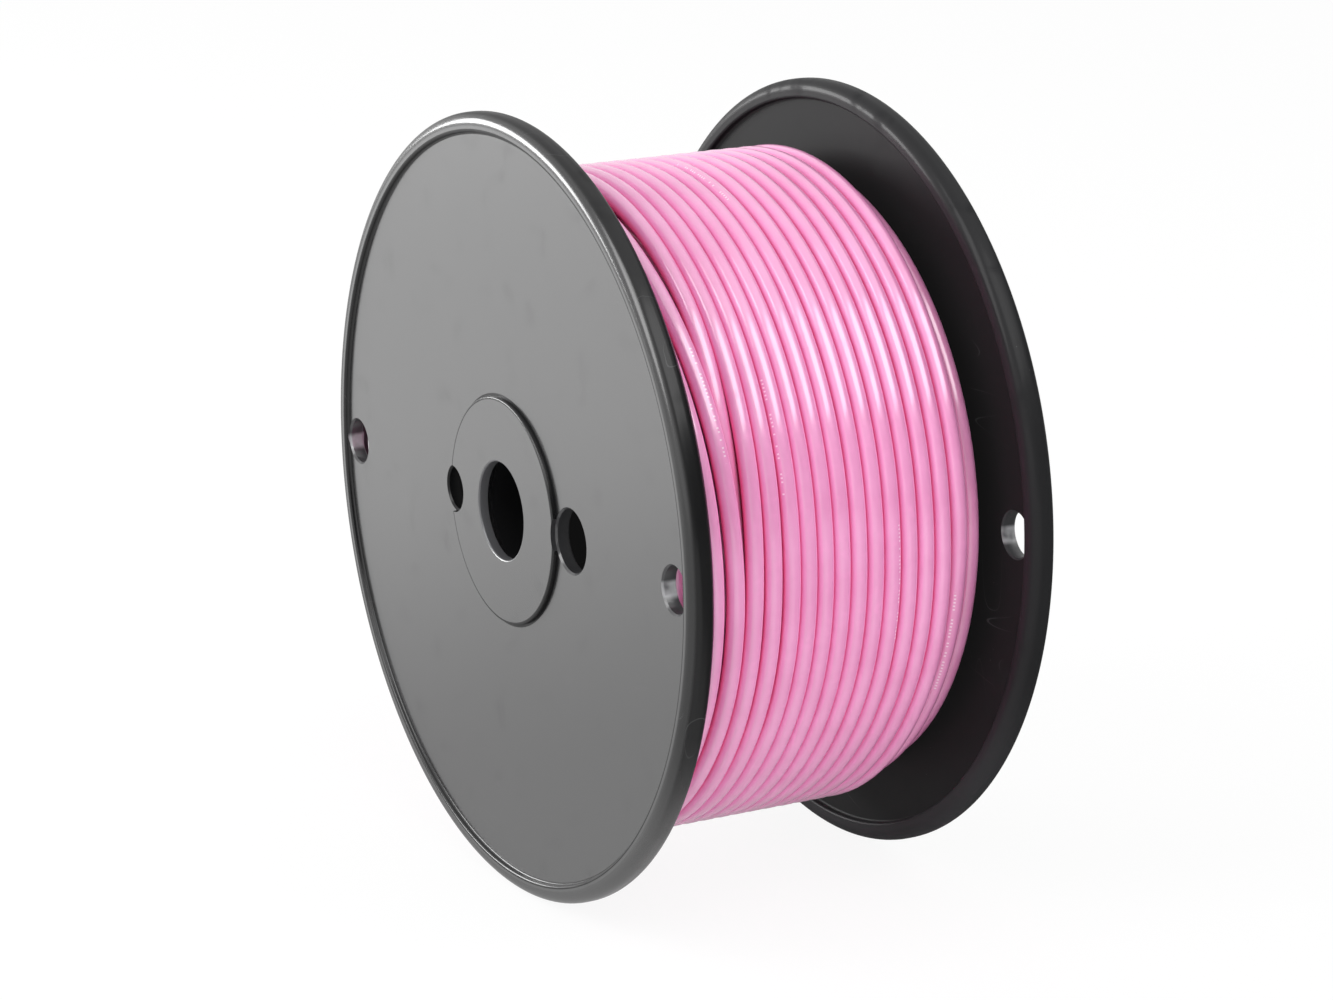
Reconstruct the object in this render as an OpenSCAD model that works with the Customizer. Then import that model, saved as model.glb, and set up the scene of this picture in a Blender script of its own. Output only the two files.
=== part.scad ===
// Moulded plastic reel of insulated hook-up wire.
// The reel's axis runs along Y, its front flange faces -Y and +Z is up.
// The origin is the centre of the reel. All sizes are in millimetres.

/* [Reel] */
// Width over the rims of both flanges
reel_w = 64; // [52:1:90]
// Diameter of the flanges
flange_d = 127; // [124:1:150]

/* [Flange moulding] */
// Thickness of the flat web
web_t = 2.5; // [2:0.1:4]
// Depth of the web's outer face below the rim
face_recess = 0.8; // [0.5:0.1:1.5]
// Width of the rim bead, measured along the radius
rim_w = 3.1; // [2.8:0.1:5]
// How far the rim bead stands out from the web's inner face
rim_proud = 1.1; // [0.6:0.1:2]
// Rounding of the rim's outer edges
rim_round = 1.9; // [0.5:0.1:1.9]
// Rounding where the rim meets the web
web_fillet = 0.4; // [0.2:0.1:0.6]

/* [Hub] */
// Diameter of the flat boss round the arbor bore
boss_d = 36.8; // [34:0.2:42]
// Rounding of the boss's edge
boss_round = 0.3; // [0.1:0.1:0.4]
// Diameter of the arbor bore, for a 5/8 inch spindle
bore_d = 15.875; // [12:0.005:18]
// Chamfer at the mouths of the arbor bore
bore_chamfer = 0.3; // [0.2:0.1:1]

/* [Holes in the flanges] */
// Diameter of the drive hole
drive_hole_d = 10.1; // [6:0.1:12]
// Distance from the reel's axis to the drive hole
drive_hole_x = 22.9; // [20:0.1:26]
// Diameter of the locating pin hole at the boss's edge
pin_hole_d = 7.2; // [5:0.1:8]
// Distance from the reel's axis to the locating pin hole
pin_hole_x = 17.6; // [17:0.1:24]
// Diameter of the two tie-off holes near the rim
tie_hole_d = 7.3; // [5:0.1:8]
// Distance from the flange's edge to the centre of a tie-off hole
tie_hole_inset = 7.1; // [7:0.1:9]
// Chamfer at both faces of every hole in the web
hole_chamfer = 0.3; // [0.1:0.05:0.5]

/* [Barrel] */
// Outer diameter of the barrel that the wire is wound on
barrel_d = 74.3; // [68:0.1:78]
// Wall of the barrel
barrel_wall = 2.2; // [1.6:0.1:4]
// Chamfer inside the barrel's ends
barrel_chamfer = 0.5; // [0.2:0.1:1]
// Height of the spigot that each flange has inside the barrel
spigot_h = 3; // [2:0.5:6]
// Wall of the spigot
spigot_wall = 2; // [1.5:0.1:3]
// Radial clearance between the spigot and the barrel
spigot_clear = 0.1; // [0.05:0.01:0.3]

/* [Arbor tube] */
// Wall of the arbor tube
arbor_wall = 2.2; // [1.5:0.1:2.5]
// Thickness of the lip that keeps the tube inside the flange
arbor_lip = 1.6; // [1:0.1:2]
// Height of the socket round the tube, above the web
socket_h = 3; // [2:0.5:6]
// Wall of the socket
socket_wall = 2; // [1.2:0.1:2.4]
// Clearance between the tube and its socket
socket_clear = 0.1; // [0.05:0.01:0.3]

/* [Ribs inside the hub] */
// Number of ribs between the socket and the spigot
rib_count = 6; // [4:1:10]
// Thickness of a rib
rib_t = 1.8; // [1.2:0.1:3]
// Height of a rib above the web
rib_h = 2.5; // [1.5:0.5:3]

/* [Wire] */
// Diameter of the insulated wire
wire_d = 2.85; // [2.4:0.05:3.2]
// Space between neighbouring turns
turn_gap = 0.15; // [0.15:0.01:0.4]
// Number of layers on the barrel
layers = 6; // [4:1:6]
// Radial step from one layer to the next, where the turns nest
layer_step = 2.6; // [2.4:0.05:2.9]
// Clearance of the wire from the flanges and from what it is wound on
wire_clear = 0.1; // [0.05:0.01:0.2]

/* [Outer layer] */
// Angle of the wire's cut end, counted from +X towards +Z
finish_angle = 173; // [120:1:240]
// Slack that opens behind the first whole turns
front_slack = 1.7; // [0:0.1:2]
// Bare width between the outer layer's last turn and the rear flange
rear_bare = 6.35; // [5.8:0.05:8]
// Space between the turn below the outer layer and the rear flange
lower_space = 2.1; // [1.8:0.1:2.5]

/* [Start of the wire] */
// Angle of the hole in the barrel, counted from +X towards +Z
start_angle = 60; // [40:1:80]
// Diameter of the hole in the barrel
start_hole_d = 4.4; // [3.8:0.1:4.8]
// Bend radius of the wire inside the barrel
start_bend_r = 6; // [5:0.5:7]
// Length of the wire's end inside the barrel
start_tail = 10; // [5:1:15]

/* [Conductor] */
// Diameter of one strand
strand_d = 0.36; // [0.25:0.01:0.4]
// How far the strands stand out of the cut insulation
strand_out = 0.5; // [0.2:0.1:1]

/* [Hidden] */

PLASTIC = "#26272a";
INSULATION = "#f19ac7";
COPPER = "#c9a58c";

$fn = 96;
small_fn = 40;
// Amount by which fused shapes reach into each other and cuts pass through
sink = 0.5;

flange_r = flange_d / 2;
tie_hole_r = flange_r - tie_hole_inset;
boss_r = boss_d / 2;
bore_r = bore_d / 2;
web_in = face_recess + web_t;
rim_t = web_in + rim_proud;
inner_face = reel_w / 2 - web_in;
step_round = min(web_fillet, face_recess / 2);

arbor_r = bore_r + arbor_wall;
seat_r = arbor_r + socket_clear;
socket_r = seat_r + socket_wall;
arbor_len = reel_w - 2 * arbor_lip - 2 * socket_clear;

barrel_r = barrel_d / 2;
barrel_in_r = barrel_r - barrel_wall;
spigot_r = barrel_in_r - spigot_clear;
spigot_in_r = spigot_r - spigot_wall;

wire_r = wire_d / 2;
turn_pitch = wire_d + turn_gap;
layer_r = barrel_r + wire_r + (layers - 1) * layer_step;
lower_r = layer_r - layer_step;
first_y = wire_r + wire_clear - inner_face;

// The outer layer is one tube of six-sided rings
ring_sides = 6;
rings_per_turn = 24;
chord_share = cos(180 / rings_per_turn);

// Turns of the outer layer, of its step down and of the turn below it
top_turns = (inner_face - rear_bare - first_y - front_slack) / turn_pitch;
drop_turns = 0.35;
lower_turns = 0.55;
ring_count = floor((top_turns + drop_turns + lower_turns) * rings_per_turn);
end_turn = ring_count / rings_per_turn;

// Where the slack opens, in turns from the wire's cut end, and how it fades
slack_from = 1.75;
slack_to = 2.66;
wave_turn = 2.487;
wave_half = 1 / 6;
wave_share = 0.65;

// The turn below the outer layer drifts away from the rear flange
lower_y = inner_face - lower_space - wire_r;
lower_drift = 1.2;
lower_end_y = lower_y - lower_drift * (end_turn - top_turns - drop_turns);

// The inner layers are a plain core with a step at the rear flange
core_in_r = barrel_r + wire_clear;
core_r = (layer_r - wire_r) * chord_share - wire_clear;
core_step_r = (lower_r - wire_r) * chord_share - wire_clear;
core_step_y = lower_end_y - wire_r - wire_clear;
core_end_y = inner_face - wire_clear;
block_angle = 22;
block_r = core_r - 0.2;

start_hole_y = start_hole_d / 2 + spigot_h + 1 - inner_face;
start_bend_at = spigot_in_r - 3;

// Turns a shape drawn about Z so that its axis lies along Y and faces in from the front
module along_y() {
    rotate([-90, 0, 0]) children();
}

// Square to the right of the origin with a quarter circle cut from its far corner
module fillet_section(r) {
    difference() {
        square(r);
        translate([r, r]) circle(r, $fn = small_fn);
    }
}

// Rim bead: two well rounded outer edges and two tight inner ones
module rim_section() {
    rim_in = flange_r - rim_w;
    translate([rim_in + step_round, 0])
        square([rim_w - step_round - rim_round, rim_t]);
    translate([rim_in, step_round])
        square([rim_w / 2, rim_t - 2 * step_round]);
    translate([flange_r - rim_round, rim_round])
        square([rim_round, rim_t - 2 * rim_round]);
    for (z = [rim_round, rim_t - rim_round])
        translate([flange_r - rim_round, z]) circle(rim_round, $fn = small_fn);
    for (z = [step_round, rim_t - step_round])
        translate([rim_in + step_round, z]) circle(step_round, $fn = small_fn);
}

// Boss: a flat pad with a rounded edge, flush with the rim
module boss_section() {
    square([boss_r - boss_round, web_in]);
    translate([0, boss_round]) square([boss_r, web_in - boss_round]);
    translate([boss_r - boss_round, boss_round]) circle(boss_round, $fn = small_fn);
}

// Ring that stands on the web's inner face, chamfered at its outer or inner mouth
module ring_section(r_in, r_out, height, chamfer_in, chamfer_out) {
    top = web_in + height;
    polygon([[r_in, web_in - sink], [r_out, web_in - sink], [r_out, top - chamfer_out],
        [r_out - chamfer_out, top], [r_in + chamfer_in, top], [r_in, top - chamfer_in]]);
}

// Half section of a flange, with the rim's outer plane at the bottom
module flange_section() {
    rim_in = flange_r - rim_w;
    difference() {
        union() {
            translate([0, face_recess]) square([rim_in + sink, web_t]);
            rim_section();
            translate([rim_in, face_recess]) rotate(180) fillet_section(step_round);
            translate([rim_in, web_in]) mirror([1, 0]) fillet_section(web_fillet);
            boss_section();
            ring_section(seat_r - sink, socket_r, socket_h, sink, 0);
            ring_section(spigot_in_r, spigot_r, spigot_h, 0, barrel_chamfer);
        }
        translate([-1, -1]) square([bore_r + 1, rim_t + 2]);
        translate([-1, arbor_lip]) square([seat_r + 1, web_in + socket_h]);
        polygon([[0, -sink], [bore_r + bore_chamfer + sink, -sink], [bore_r, bore_chamfer],
            [0, bore_chamfer]]);
    }
}

// Round hole through the web, chamfered at both faces
module web_hole(d) {
    r = d / 2;
    translate([0, 0, -sink]) cylinder(r = r + hole_chamfer, h = face_recess + sink);
    translate([0, 0, -sink]) cylinder(r = r, h = rim_t + 2 * sink);
    translate([0, 0, face_recess])
        cylinder(r1 = r + hole_chamfer, r2 = r, h = hole_chamfer);
    translate([0, 0, web_in - hole_chamfer])
        cylinder(r1 = r, r2 = r + hole_chamfer, h = hole_chamfer);
    translate([0, 0, web_in]) cylinder(r = r + hole_chamfer, h = sink);
}

// One flange as it leaves the mould, with its outer plane at z = 0
module flange_moulding() {
    rib_len = spigot_in_r - socket_r;
    difference() {
        union() {
            rotate_extrude() flange_section();
            for (i = [0 : rib_count - 1])
                rotate((i + 0.5) * 360 / rib_count)
                    translate([socket_r - sink, -rib_t / 2, web_in - sink])
                        cube([rib_len + 2 * sink, rib_t, rib_h + sink]);
        }
        for (side = [-1, 1])
            translate([side * tie_hole_r, 0, 0]) web_hole(tie_hole_d);
        translate([drive_hole_x, 0, 0]) web_hole(drive_hole_d);
        translate([-pin_hole_x, 0, 0]) web_hole(pin_hole_d);
    }
}

module front_flange() {
    color(PLASTIC)
        translate([0, -reel_w / 2, 0]) along_y() flange_moulding();
}

// The same moulding as the front flange, turned over about X
module rear_flange() {
    color(PLASTIC)
        rotate([180, 0, 0]) translate([0, -reel_w / 2, 0]) along_y() flange_moulding();
}

// Places a shape at an angle round the reel, with its +Z pointing away from the axis
module at_angle(angle, y) {
    translate([0, y, 0]) rotate([0, 90 - angle, 0]) children();
}

module barrel() {
    color(PLASTIC) difference() {
        translate([0, -inner_face, 0]) along_y() rotate_extrude() difference() {
            translate([barrel_in_r, 0]) square([barrel_wall, 2 * inner_face]);
            for (end = [0, 2 * inner_face])
                translate([barrel_in_r, end]) rotate(45)
                    square(barrel_chamfer * sqrt(2), center = true);
        }
        at_angle(start_angle, start_hole_y)
            translate([0, 0, barrel_in_r - sink])
                cylinder(d = start_hole_d, h = barrel_wall + 2 * sink, $fn = small_fn);
    }
}

module arbor_tube() {
    color(PLASTIC)
        translate([0, -arbor_len / 2, 0]) along_y() difference() {
            cylinder(r = arbor_r, h = arbor_len);
            translate([0, 0, -sink]) cylinder(r = bore_r, h = arbor_len + 2 * sink);
        }
}

// Inner layers of the wire as a plain core. A short block carries the turn
// below the outer layer on to where it passes under that layer.
module wire_lower_layers() {
    block_from = wire_angle(end_turn) + atan((wire_d + wire_clear) / (lower_r - wire_r));
    color(INSULATION) along_y() {
        rotate_extrude() union() {
            translate([core_in_r, -core_end_y])
                square([core_step_r - core_in_r, 2 * core_end_y]);
            translate([core_in_r, -core_end_y])
                square([core_r - core_in_r, core_step_y + core_end_y]);
        }
        rotate(-block_from - block_angle) rotate_extrude(angle = block_angle)
            translate([core_step_r - sink, core_step_y - sink])
                square([block_r - core_step_r + sink, lower_end_y + wire_r - core_step_y + sink]);
    }
}

// Smooth step from 0 to 1
function clamped(t) = min(1, max(0, t));
function smooth(t) = clamped(t) ^ 2 * (3 - 2 * clamped(t));

// Soft bump of height 1 round a turn number
function bump(u, middle) =
    abs(u - middle) < wave_half ? (1 + cos(180 * (u - middle) / wave_half)) / 2 : 0;

// Share of the slack taken up at turn u: it opens once and then fades in waves
function slack_share(u) =
    smooth((u - slack_from) / (slack_to - slack_from))
    - wave_share * bump(u, wave_turn)
    - wave_share * 2 / 3 * bump(u, wave_turn + 1)
    - wave_share / 3 * bump(u, wave_turn + 2);

// Place of the wire's centre along the axis at turn u
function top_y(u) = first_y + turn_pitch * u + front_slack * slack_share(u);
function wire_y(u) =
    u <= top_turns ? top_y(u)
    : top_y(top_turns)
        + (lower_y - top_y(top_turns)) * smooth(1.6 * (u - top_turns) / drop_turns)
        - lower_drift * max(0, u - top_turns - drop_turns);

// Distance of the wire's centre from the axis at turn u
function wire_radius(u) =
    layer_r - layer_step * smooth(((u - top_turns) / drop_turns - 0.3) / 0.7);

// Centre of the wire at turn u, and the centre of a straight run past it
function wire_angle(u) = finish_angle + 360 * u;
function outward(u) = [cos(wire_angle(u)), 0, sin(wire_angle(u))];
function forward(u) = [-sin(wire_angle(u)), 0, cos(wire_angle(u))];
function wire_centre(u, run) = wire_radius(u) * outward(u) + [0, wire_y(u), 0] + run * forward(u);

// One six-sided ring of the tube
function wire_ring(u, run = 0) =
    [for (side = [0 : ring_sides - 1])
        wire_centre(u, run) + wire_r * (cos(60 * side) * outward(u) + [0, sin(60 * side), 0])];

// The whole tube, with a straight run of one wire diameter at each end
top_rings = concat(
    [wire_ring(0, -wire_d)],
    [for (i = [0 : ring_count]) wire_ring(i / rings_per_turn)],
    [wire_ring(end_turn, wire_d)]);

function flat(rings) = [for (ring = rings) for (point = ring) point];
function ring_gap(a, b) = min([for (p = a) for (q = b) norm(p - q)]);
least_gap = min([for (i = [0 : ring_count - rings_per_turn])
    ring_gap(top_rings[i + 1], top_rings[i + 1 + rings_per_turn])]);
echo(str("Outer layer: ", end_turn, " turns, least gap to itself ", least_gap, " mm"));

module wire_top_layer() {
    last = len(top_rings) - 1;
    sides = [for (i = [0 : last - 1]) for (side = [0 : ring_sides - 1])
        let (a = i * ring_sides + side, b = i * ring_sides + (side + 1) % ring_sides)
        each [[a, b, b + ring_sides], [a, b + ring_sides, a + ring_sides]]];
    caps = [for (side = [1 : ring_sides - 2])
        each [[0, side + 1, side],
            [last * ring_sides, last * ring_sides + side, last * ring_sides + side + 1]]];
    color(INSULATION) polyhedron(flat(top_rings), concat(sides, caps));
}

// The wire's inner end: through the barrel's hole, round a bend and along the reel
module wire_start_end() {
    color(INSULATION) at_angle(start_angle, start_hole_y) {
        translate([0, 0, start_bend_at])
            cylinder(r = wire_r, h = barrel_r - wire_clear - start_bend_at, $fn = small_fn);
        translate([0, start_bend_r, start_bend_at]) rotate([90, 0, 90]) rotate(180)
            rotate_extrude(angle = 90) translate([start_bend_r, 0])
                circle(wire_r, $fn = small_fn);
        translate([0, start_bend_r, start_bend_at - start_bend_r]) along_y()
            cylinder(r = wire_r, h = start_tail, $fn = small_fn);
    }
}

// Strands in the hexagonal lay of one centre, six round it and twelve outside
module strand_bundle() {
    for (ring = [0 : 2])
        for (i = [0 : max(0, 6 * ring - 1)])
            rotate(i * 60 / max(1, ring)) translate([ring * (strand_d + 0.01), 0, 0])
                cylinder(d = strand_d, h = strand_out, $fn = 16);
}

// Bare copper at the two cut ends of the wire
module conductor_ends() {
    color(COPPER) {
        translate(wire_centre(0, -wire_d)) rotate([0, 180 - finish_angle, 0]) strand_bundle();
        at_angle(start_angle, start_hole_y)
            translate([0, start_bend_r + start_tail, start_bend_at - start_bend_r])
                along_y() strand_bundle();
    }
}

front_flange();
rear_flange();
barrel();
arbor_tube();
wire_lower_layers();
wire_top_layer();
wire_start_end();
conductor_ends();
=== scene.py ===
"""Looks of a moulded plastic reel of insulated hook-up wire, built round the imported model."""

import logging
import math
from dataclasses import dataclass, field
from enum import Enum
from typing import Callable, Iterable, Sequence

import bmesh
import bpy
from mathutils import Matrix, Vector


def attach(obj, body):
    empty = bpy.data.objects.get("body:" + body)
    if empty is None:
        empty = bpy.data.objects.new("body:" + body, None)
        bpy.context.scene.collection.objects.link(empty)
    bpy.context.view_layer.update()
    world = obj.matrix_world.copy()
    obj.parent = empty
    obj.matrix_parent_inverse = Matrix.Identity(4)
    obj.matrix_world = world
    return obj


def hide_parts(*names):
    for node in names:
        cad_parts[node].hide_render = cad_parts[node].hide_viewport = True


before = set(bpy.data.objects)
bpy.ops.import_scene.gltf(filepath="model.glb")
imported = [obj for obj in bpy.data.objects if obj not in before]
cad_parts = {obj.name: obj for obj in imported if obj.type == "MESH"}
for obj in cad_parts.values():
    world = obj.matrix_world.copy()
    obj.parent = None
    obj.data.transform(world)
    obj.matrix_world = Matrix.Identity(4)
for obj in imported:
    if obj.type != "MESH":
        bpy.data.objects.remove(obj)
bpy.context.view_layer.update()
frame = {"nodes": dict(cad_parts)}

LOG = logging.getLogger("reel")
MM = 0.001
ROOT_BODY = "root"

# Holes through each flange, as place across the reel and radius: two tie holes, drive hole, pin hole
FLANGE_HOLES = (
    (56.4 * MM, 3.65 * MM),
    (-56.4 * MM, 3.65 * MM),
    (22.9 * MM, 5.05 * MM),
    (-17.6 * MM, 3.6 * MM),
)
BORE_R = 7.9375 * MM

Colour = tuple[float, float, float]
Triple = tuple[float, float, float]
Range = tuple[float, float]
Setting = dict[str, object]


def clamped(value: float) -> float:
    """Value limited to the range from 0 to 1."""
    return min(1.0, max(0.0, value))


def smooth_step(value: float) -> float:
    """Smooth climb from 0 to 1."""
    t = clamped(value)
    return t * t * (3 - 2 * t)


class Slot(Enum):
    """Names of material slots, handed to the new pieces but not read."""

    PLASTIC = "black_plastic"
    INSULATION = "wire_insulation"


def linked(name: str, data: bpy.types.ID) -> bpy.types.Object:
    """Makes an object at the origin and links it to the scene."""
    made = bpy.data.objects.new(name, data)
    bpy.context.scene.collection.objects.link(made)
    return made


def mesh_of(name: str, shape: bmesh.types.BMesh) -> bpy.types.Mesh:
    """Ends a bmesh in a mesh."""
    mesh = bpy.data.meshes.new(name)
    shape.to_mesh(mesh)
    shape.free()
    return mesh


def spin_round(shape: bmesh.types.BMesh, geom: list, centre_x: float, steps: int) -> None:
    """Turns vertices and edges into a closed skin about an axis along Y.

    Args:
        shape: the bmesh that holds them.
        geom: the outline's vertices and edges.
        centre_x: place of the axis.
        steps: faces round the full turn.
    """
    bmesh.ops.spin(
        shape, geom=geom, cent=(centre_x, 0, 0), axis=(0, 1, 0), dvec=(0, 0, 0), angle=math.tau,
        steps=steps, use_merge=True, use_normal_flip=False, use_duplicate=False,
    )


def reel_piece(
    name: str, mesh: bpy.types.Mesh, finish: bpy.types.Material, slot: Slot, *nodes: str
) -> bpy.types.Object:
    """Makes a finished piece that rides on the reel.

    Args:
        name: name of the piece.
        mesh: its shape, placed on the reel.
        finish: its material.
        slot: a material slot's name; not used.
        nodes: the CAD nodes that it stands for.

    Returns:
        The piece.
    """
    mesh.materials.clear()
    mesh.materials.append(finish)
    piece = linked(name, mesh)
    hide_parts(*nodes)
    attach(piece, ROOT_BODY)
    return piece


class Term:
    """A shader socket that adds Math nodes when it is used in an expression."""

    def __init__(self, bench: "Bench", socket: bpy.types.NodeSocket) -> None:
        """Wraps a socket.

        Args:
            bench: the bench whose node tree holds the socket.
            socket: the output socket that carries the value.
        """
        self.bench = bench
        self.socket = socket

    def _math(self, operation: str, *others: "Term | float") -> "Term":
        """Adds one Math node with this value as its first input."""
        return self.bench.math(operation, self, *others)

    def __add__(self, other: "Term | float") -> "Term":
        """Sum."""
        return self._math("ADD", other)

    def __sub__(self, other: "Term | float") -> "Term":
        """Difference."""
        return self._math("SUBTRACT", other)

    def __rsub__(self, other: "Term | float") -> "Term":
        """Difference from a number."""
        return self.bench.math("SUBTRACT", other, self)

    def __mul__(self, other: "Term | float") -> "Term":
        """Product."""
        return self._math("MULTIPLY", other)

    def __truediv__(self, other: "Term | float") -> "Term":
        """Quotient."""
        return self._math("DIVIDE", other)

    def __gt__(self, other: "Term | float") -> "Term":
        """1 where this is larger, 0 elsewhere."""
        return self._math("GREATER_THAN", other)

    def __lt__(self, other: "Term | float") -> "Term":
        """1 where this is smaller, 0 elsewhere."""
        return self._math("LESS_THAN", other)

    __radd__ = __add__
    __rmul__ = __mul__

    def other(self, name: str | int) -> "Term":
        """Another output of the same node."""
        return Term(self.bench, self.socket.node.outputs[name])

    def absolute(self) -> "Term":
        """Size without its sign."""
        return self._math("ABSOLUTE")

    def fraction(self) -> "Term":
        """Part after the whole number."""
        return self._math("FRACT")

    def floor(self) -> "Term":
        """Whole number below."""
        return self._math("FLOOR")

    def between(self, low: float, high: float) -> "Term":
        """Smooth climb from 0 at low to 1 at high."""
        return self.bench.node(
            "ShaderNodeMapRange",
            {"interpolation_type": "SMOOTHSTEP"},
            {"Value": self, "From Min": low, "From Max": high},
        )


Input = Term | float | Sequence[float]


class Bench:
    """Builds the node tree of one material or of the world."""

    def __init__(self, owner: bpy.types.Material | bpy.types.World) -> None:
        """Empties the owner's node tree.

        Args:
            owner: the material or world that is dressed.
        """
        owner.use_nodes = True
        self.tree = owner.node_tree
        self.tree.nodes.clear()

    def node(
        self,
        kind: str,
        settings: Setting | None = None,
        inputs: dict[str | int, Input] | None = None,
        output: str | int = 0,
    ) -> Term:
        """Adds a node.

        Args:
            kind: the node's type.
            settings: attributes, set before the inputs.
            inputs: values or links, by socket name or number.
            output: the socket that the result stands for.

        Returns:
            The chosen output.
        """
        made = self.tree.nodes.new(kind)
        for name, value in (settings or {}).items():
            setattr(made, name, value)
        for name, value in (inputs or {}).items():
            if isinstance(value, Term):
                self.tree.links.new(value.socket, made.inputs[name])
            else:
                made.inputs[name].default_value = value
        return Term(self, made.outputs[output]) if made.outputs else Term(self, None)

    def math(self, operation: str, *values: Input) -> Term:
        """Adds a Math node of the given operation."""
        return self.node("ShaderNodeMath", {"operation": operation}, dict(enumerate(values)))

    def mix(self, factor: Input, first: Input, second: Input) -> Term:
        """Mixes two colours."""
        return self.node(
            "ShaderNodeMix",
            {"data_type": "RGBA"},
            {0: factor, 6: self._rgba(first), 7: self._rgba(second)},
            2,
        )

    @staticmethod
    def _rgba(value: Input) -> Input:
        """Adds an alpha of 1 to a plain colour."""
        return value if isinstance(value, Term) else (*value, 1)

    def place(self) -> Term:
        """Position on the object in metres."""
        return self.node("ShaderNodeTexCoord", output="Object")

    def parts(self, vector: Term) -> tuple[Term, Term, Term]:
        """Splits a vector into its three numbers."""
        x = self.node("ShaderNodeSeparateXYZ", inputs={"Vector": vector})
        return x, x.other("Y"), x.other("Z")

    def larger(self, first: Input, second: Input) -> Term:
        """The larger of two values."""
        return self.math("MAXIMUM", first, second)

    def length(self, first: Term, second: Term) -> Term:
        """Length of a flat vector from its two numbers."""
        return self.math("SQRT", first * first + second * second)

    def bump(self, height: Term, depth: float) -> Term:
        """Normal from a height between 0 and 1 that spans a depth in metres."""
        return self.node("ShaderNodeBump", inputs={"Height": height, "Distance": depth, "Strength": 1.0})

    def surface(self, inputs: dict[str | int, Input]) -> None:
        """Ends a material in a Principled shader with these inputs."""
        shader = self.node("ShaderNodeBsdfPrincipled", inputs=inputs)
        self.node("ShaderNodeOutputMaterial", inputs={"Surface": shader})


@dataclass(frozen=True)
class Mottle:
    """A noise of one scale, in features per metre, and the range that a mask takes from it."""

    scale: float
    detail: float
    span: Range = (0.0, 1.0)

    def level(self, place: Term, stretch: Sequence[float] = (1, 1, 1)) -> Term:
        """Noise between 0 and 1.

        Args:
            place: the coordinates.
            stretch: factor on each axis.

        Returns:
            The noise value.
        """
        bench = place.bench
        mapped = bench.node("ShaderNodeMapping", inputs={"Vector": place, "Scale": stretch})
        noise = {"Vector": mapped, "Scale": self.scale, "Detail": self.detail}
        return bench.node("ShaderNodeTexNoise", inputs=noise)

    def mask(self, place: Term) -> Term:
        """Soft mask of the parts where the noise is high."""
        return self.level(place).between(*self.span)


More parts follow.
